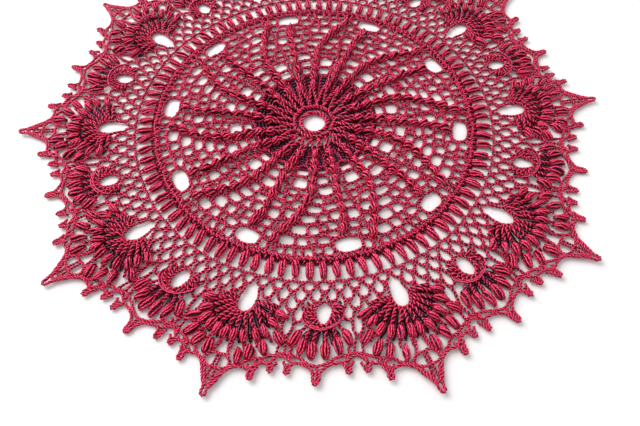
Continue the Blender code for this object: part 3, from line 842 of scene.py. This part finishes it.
EDGE_LINES = [
    # the outer line, from the short point to the long one
    [(0.0, 138.1), (0.38, 137.3), (0.5, 135.8), (0.5, 134.2), (0.72, 132.7), (1.3, 131.2), (2.5, 129.7),
     (3.8, 129.1), (4.8, 128.9), (5.4, 128.2), (6.0, 127.1), (6.6, 126.8), (7.3, 127.1), (7.9, 128.2),
     (8.3, 129.7), (8.8, 130.8), (9.5, 131.0), (10.4, 131.6), (11.2, 132.8), (11.8, 134.3), (12.5, 134.8),
     (13.4, 134.5), (14.5, 135.1), (15.3, 136.5), (15.9, 138.3), (16.4, 140.4), (16.9, 142.6),
     (17.35, 144.9), (17.6, 146.8), (17.62, 148.6), (17.78, 149.6), (18.0, 149.7)],
    # the line under it, over the heads of the clusters
    [(0.0, 130.4), (1.0, 129.8), (1.9, 129.0), (2.7, 128.0), (3.4, 127.0), (4.2, 126.4), (5.2, 126.0),
     (6.2, 125.6), (7.2, 125.9), (7.9, 126.7), (8.6, 127.3), (9.6, 128.2), (10.3, 129.4), (11.2, 129.9),
     (12.0, 130.3), (12.9, 131.4), (13.4, 133.0)],
    # the short chains between the two
    [(2.4, 129.6), (2.4, 128.2)],
    [(5.3, 128.4), (5.1, 126.2)],
    [(5.4, 123.0), (5.6, 124.6), (5.7, 126.0)],
    [(8.2, 129.4), (8.1, 127.0)],
    [(10.4, 131.5), (10.2, 129.6)],
    [(11.2, 132.8), (11.2, 130.2)],
    # the crown of the long point
    [(13.2, 132.8), (14.4, 134.2), (15.6, 136.0), (16.7, 137.7), (17.4, 137.9), (18.0, 137.7)],
    [(15.8, 133.8), (16.3, 132.2), (16.7, 130.0), (17.0, 128.0), (17.2, 126.0)],
    [(16.3, 132.2), (17.2, 131.6), (18.0, 131.8)],
    [(15.6, 133.6), (15.8, 136.2)],
    [(16.3, 138.0), (16.95, 140.8), (17.45, 143.2), (17.8, 145.8)],
]
PICOTS = [
    # angle, distance of its base, distance of its tip
    (5.3, 129.2, 135.0), (8.3, 130.0, 135.2), (11.5, 133.2, 139.9),
]
LONG_POINT_TIES = [
    # rows of angle, distance and height of the cords inside a long point
    [(18.3, 131.8, 1.0), (18.3, 137.6, 1.0)],
    [(18.25, 138.4, 1.0), (18.42, 141.0, 1.0), (18.2, 142.8, 1.0)],
]
SHORT_POINT_POST = [(0.0, 130.6), (0.0, 134.0), (0.0, 137.6)]
SHORT_POINT_BAR = [(-0.7, 133.2), (0.7, 133.2)]
EDGE_HEIGHT = 1.1


def edge_chain(work, line, thickness=0.94):
    """A chain of the edging: three strands in a long twist."""
    tight_chain(work, line, thickness, turn_length=4.8, bulge=0.42, strands=3)


edging = Crochet()
for axis in AXES:
    for mirror in (-1, 1):
        for rows in EDGE_LINES:
            edge_chain(edging, chart_line(rows, EDGE_HEIGHT, axis, mirror))
        for angle, foot, tip in PICOTS:
            rows = [(angle - 0.95, foot), (angle - 0.5, foot + 1.5), (angle - 0.34, (foot + tip) / 2),
                    (angle - 0.42, tip - 1.8), (angle, tip - 0.8), (angle + 0.42, tip - 1.8),
                    (angle + 0.34, (foot + tip) / 2), (angle + 0.5, foot + 1.5), (angle + 0.95, foot)]
            edge_chain(edging, chart_line(rows, 1.2, axis, mirror, sway=0.08), 0.96)
            middle = [(angle, foot + 0.6), (angle, tip - 1.9)]
            tight_chain(edging, chart_line(middle, EDGE_HEIGHT, axis, mirror))
        for rows in LONG_POINT_TIES:
            cord(edging, chart_line(rows, axis=axis, mirror=mirror), 0.74, turn_length=2.8, bulge=0.38)
    edge_chain(edging, chart_line(SHORT_POINT_POST, EDGE_HEIGHT, axis))
    tight_chain(edging, chart_line(SHORT_POINT_BAR, EDGE_HEIGHT, axis))
finish_piece(edging, "picot_edging")

# ---------------------------------------------------------------------------
# The surface that it lies on: smooth white paper, uncoated, so it is matt and even. Soft
# light comes from a window at the back left and from the pale room.

FLOOR_SIZE = 3.0                 # metres
FLOOR_DROP = 0.0002              # just under the lowest threads
bpy.ops.mesh.primitive_plane_add(size=FLOOR_SIZE, location=(0, 0, -FLOOR_DROP))
floor = bpy.context.object
floor.name = "pale_surface"
paper = bpy.data.materials.new("pale_paper")
paper.use_nodes = True
paper_finish = paper.node_tree.nodes["Principled BSDF"].inputs
paper_finish["Base Color"].default_value = srgb("#efeeed")
paper_finish["Roughness"].default_value = 0.8
floor.data.materials.append(paper)

ROOM_LIGHT = 0.8
room = bpy.data.worlds.new("soft_room")
room.use_nodes = True
room_light = room.node_tree.nodes["Background"].inputs
room_light["Color"].default_value = srgb("#f6f5f7")
room_light["Strength"].default_value = ROOM_LIGHT
bpy.context.scene.world = room

WINDOW_PLACE = (-0.50, 0.42, 0.70)           # metres
WINDOW_SIZE = 0.8
WINDOW_WATTS = 10.2
window_light = bpy.data.lights.new("window", "AREA")
window_light.size = WINDOW_SIZE
window_light.energy = WINDOW_WATTS
window_light.color = srgb("#fffcfa")[:3]
window = bpy.data.objects.new("window", window_light)
window.location = WINDOW_PLACE
window.rotation_euler = (Vector((0, 0, 0)) - window.location).to_track_quat("-Z", "Y").to_euler()
bpy.context.collection.objects.link(window)
bpy.context.scene.view_settings.view_transform = "Standard"

# ---------------------------------------------------------------------------
# The camera, as in the photograph: from the near side, about 59 degrees up, over a cloth
# that lies turned by a degree and a half. It has no shift and no depth of field.

CAMERA_RISE = math.radians(59.22)
CAMERA_AWAY = 1.7995 * REACH * MM
CAMERA_ROLL = -0.0158
CAMERA_TARGET = Vector((0.0159, -0.3754)) * REACH * MM
CLOTH_TURN = 0.02437
SENSOR_WIDTH = 36.0
LENS = 574.23 / 640.0 * SENSOR_WIDTH         # focal length in the photograph's pixels, over its width

back = Vector((0.0, -math.cos(CAMERA_RISE), math.sin(CAMERA_RISE)))
right = Vector((1.0, 0.0, 0.0))
up = back.cross(right)
right, up = (math.cos(CAMERA_ROLL) * right + math.sin(CAMERA_ROLL) * up,
             -math.sin(CAMERA_ROLL) * right + math.cos(CAMERA_ROLL) * up)
camera = bpy.data.objects.new("camera", bpy.data.cameras.new("camera"))
camera.data.lens = LENS
camera.data.sensor_width = SENSOR_WIDTH
eye = Vector((*CAMERA_TARGET, 0.0)) + back * CAMERA_AWAY
axes = Matrix((right, up, back)).transposed().to_4x4()
turn_back = Matrix.Rotation(-CLOTH_TURN, 4, "Z")
centre_shift = Matrix.Translation((CENTRE[0] * MM, CENTRE[1] * MM, 0.0))
camera.matrix_world = centre_shift @ turn_back @ Matrix.Translation(eye) @ axes
bpy.context.collection.objects.link(camera)
bpy.context.scene.camera = camera
